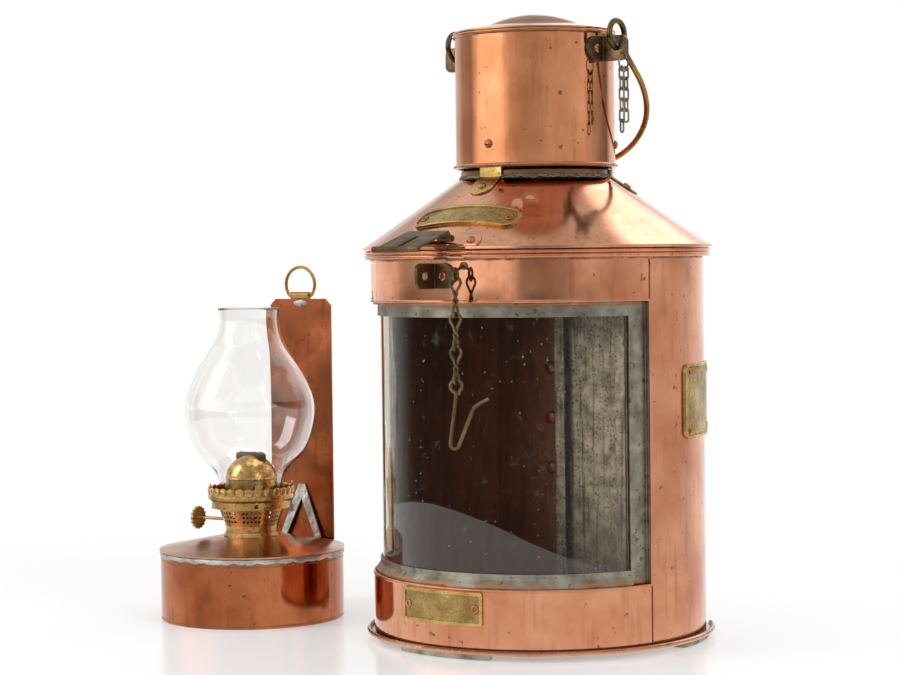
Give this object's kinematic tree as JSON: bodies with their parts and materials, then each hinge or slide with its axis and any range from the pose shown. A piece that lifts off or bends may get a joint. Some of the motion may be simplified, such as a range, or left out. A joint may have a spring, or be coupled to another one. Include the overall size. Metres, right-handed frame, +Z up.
{
  "type": "stern lantern",
  "caption": "Copper ship's stern lantern with a curved front window, a hinged conical roof with chimney and bail, a hasp, and a lift-out oil lamp with wick burner and glass.",
  "frame": {"origin": "on the lantern's axis, at the level its foot strips stand on", "axes": "+Z up, -Y to the front window, +Y to the flat back, +X to the viewer's right facing the front"},
  "size_m": [0.4453, 0.2647, 0.4632],
  "materials": {
    "copper": "worn satin copper",
    "tinned": "dull tinned sheet",
    "brass": "aged satin brass",
    "bronze": "dark patina",
    "glass": "clear",
    "cotton": "charred cotton"
  },
  "bodies": {
    "lantern_body": {"base_plate": "copper", "foot_strips": "tinned", "body_shell": "copper", "lower_front_band": "copper", "upper_front_band": "copper", "top_rim": "copper", "window_head": "tinned", "window_sill": "tinned", "window_jamb_left": "tinned", "window_jamb_right": "tinned", "window_glass": "glass", "lamp_guide": "tinned", "back_bracket": "copper", "bracket_rivets": "copper", "hinge_leaf_body": "bronze", "hinge_pin": "bronze", "staple_lug": "bronze", "chain_eye": "bronze", "number_plate": "brass", "maker_plate": "brass", "plate_rivets": "copper"},
    "roof": {"roof_cone": "copper", "flue_neck": "copper", "chimney_drum": "copper", "chimney_cap": "copper", "chimney_bracket_front": "brass", "chimney_bracket_left": "brass", "chimney_bracket_right": "brass", "ear_left": "bronze", "ear_right": "bronze", "title_plate": "brass", "roof_rivets": "copper", "hinge_leaf_roof": "bronze", "hasp_strap": "copper", "hasp_pin": "bronze"},
    "hasp": {"hasp": "bronze"},
    "bail": {"bail": "brass"},
    "ear_chain": {"ear_chain": "bronze"},
    "keeper_link_1": {"keeper_link_1": "bronze"},
    "keeper_link_2": {"keeper_link_2": "bronze"},
    "keeper_link_3": {"keeper_link_3": "bronze"},
    "keeper_hook": {"keeper_hook": "bronze"},
    "lamp": {"fount_body": "copper", "fount_top": "copper", "solder_seam": "tinned", "burner_collar": "brass", "lamp_back_plate": "copper", "lamp_stay": "tinned", "ring_bar": "tinned"},
    "lift_ring": {"lift_ring": "brass"},
    "burner": {"burner_basket": "brass", "burner_gallery": "brass", "gallery_crown": "brass", "burner_dome": "brass", "wick_tube": "brass"},
    "wick_knob": {"wick_spindle": "brass", "thumbwheel": "brass"},
    "wick": {"wick": "cotton"},
    "lamp_glass": {"lamp_glass": "glass"}
  },
  "joints": [
    {"name": "roof_hinge", "type": "hinge", "parent": "lantern_body", "child": "roof", "pos_m": [0, 0.0836, 0.289], "axis": [-1, 0, 0], "range_deg": [0, 100]},
    {"name": "hasp_hinge", "type": "hinge", "parent": "roof", "child": "hasp", "pos_m": [0, -0.128, 0.2965], "axis": [-1, 0, 0], "range_deg": [-72, 90]},
    {"name": "bail_swing", "type": "hinge", "parent": "roof", "child": "bail", "pos_m": [0, 0, 0.44406], "axis": [1, 0, 0], "range_deg": [0, 285]},
    {"name": "ear_chain_swing", "type": "hinge", "parent": "roof", "child": "ear_chain", "pos_m": [0.0789, 0, 0.42956], "axis": [0, -1, 0], "range_deg": [-10, 60]},
    {"name": "keeper_link_1_swing", "type": "hinge", "parent": "lantern_body", "child": "keeper_link_1", "pos_m": [0.02601, -0.13634, 0.267], "axis": [0.1874, -0.9823, 0], "range_deg": [-18, 60]},
    {"name": "keeper_link_2_swing", "type": "hinge", "parent": "keeper_link_1", "child": "keeper_link_2", "pos_m": [0.02601, -0.13634, 0.2442], "axis": [-0.9823, -0.1874, 0], "range_deg": [0, 60]},
    {"name": "keeper_link_3_swing", "type": "hinge", "parent": "keeper_link_2", "child": "keeper_link_3", "pos_m": [0.02601, -0.13634, 0.2182], "axis": [0.1874, -0.9823, 0], "range_deg": [-50, 50]},
    {"name": "keeper_hook_swing", "type": "hinge", "parent": "keeper_link_3", "child": "keeper_hook", "pos_m": [0.02601, -0.13634, 0.19775], "axis": [-0.9823, -0.1874, 0], "range_deg": [0, 60]},
    {"name": "lamp_lift", "type": "slide", "parent": "lantern_body", "child": "lamp", "axis": [0, 0, 1], "range_m": [0, 0.25]},
    {"name": "lift_ring_swing", "type": "hinge", "parent": "lamp", "child": "lift_ring", "pos_m": [-0.25002, 0.0185, 0.25385], "axis": [0.9925, 0.1219, 0], "range_deg": [-90, 90]},
    {"name": "burner_unscrew", "type": "hinge", "parent": "lamp", "child": "burner", "pos_m": [-0.241, -0.055, 0.068], "axis": [0, 0, 1], "range_deg": [0, 1080]},
    {"name": "wick_knob_turn", "type": "hinge", "parent": "burner", "child": "wick_knob", "pos_m": [-0.24026, -0.06105, 0.077], "axis": [0.9925, 0.1219, 0], "range_deg": [-150, 150]},
    {"name": "wick_rise", "type": "slide", "parent": "burner", "child": "wick", "axis": [0, 0, 1], "range_m": [-0.01, 0.01]},
    {"name": "glass_lift", "type": "slide", "parent": "burner", "child": "lamp_glass", "axis": [0, 0, 1], "range_m": [0, 0.16]}
  ],
  "couplings": [
    {"joint": "wick_rise", "follows": "wick_knob_turn", "m_per_rad": 0.0038}
  ]
}
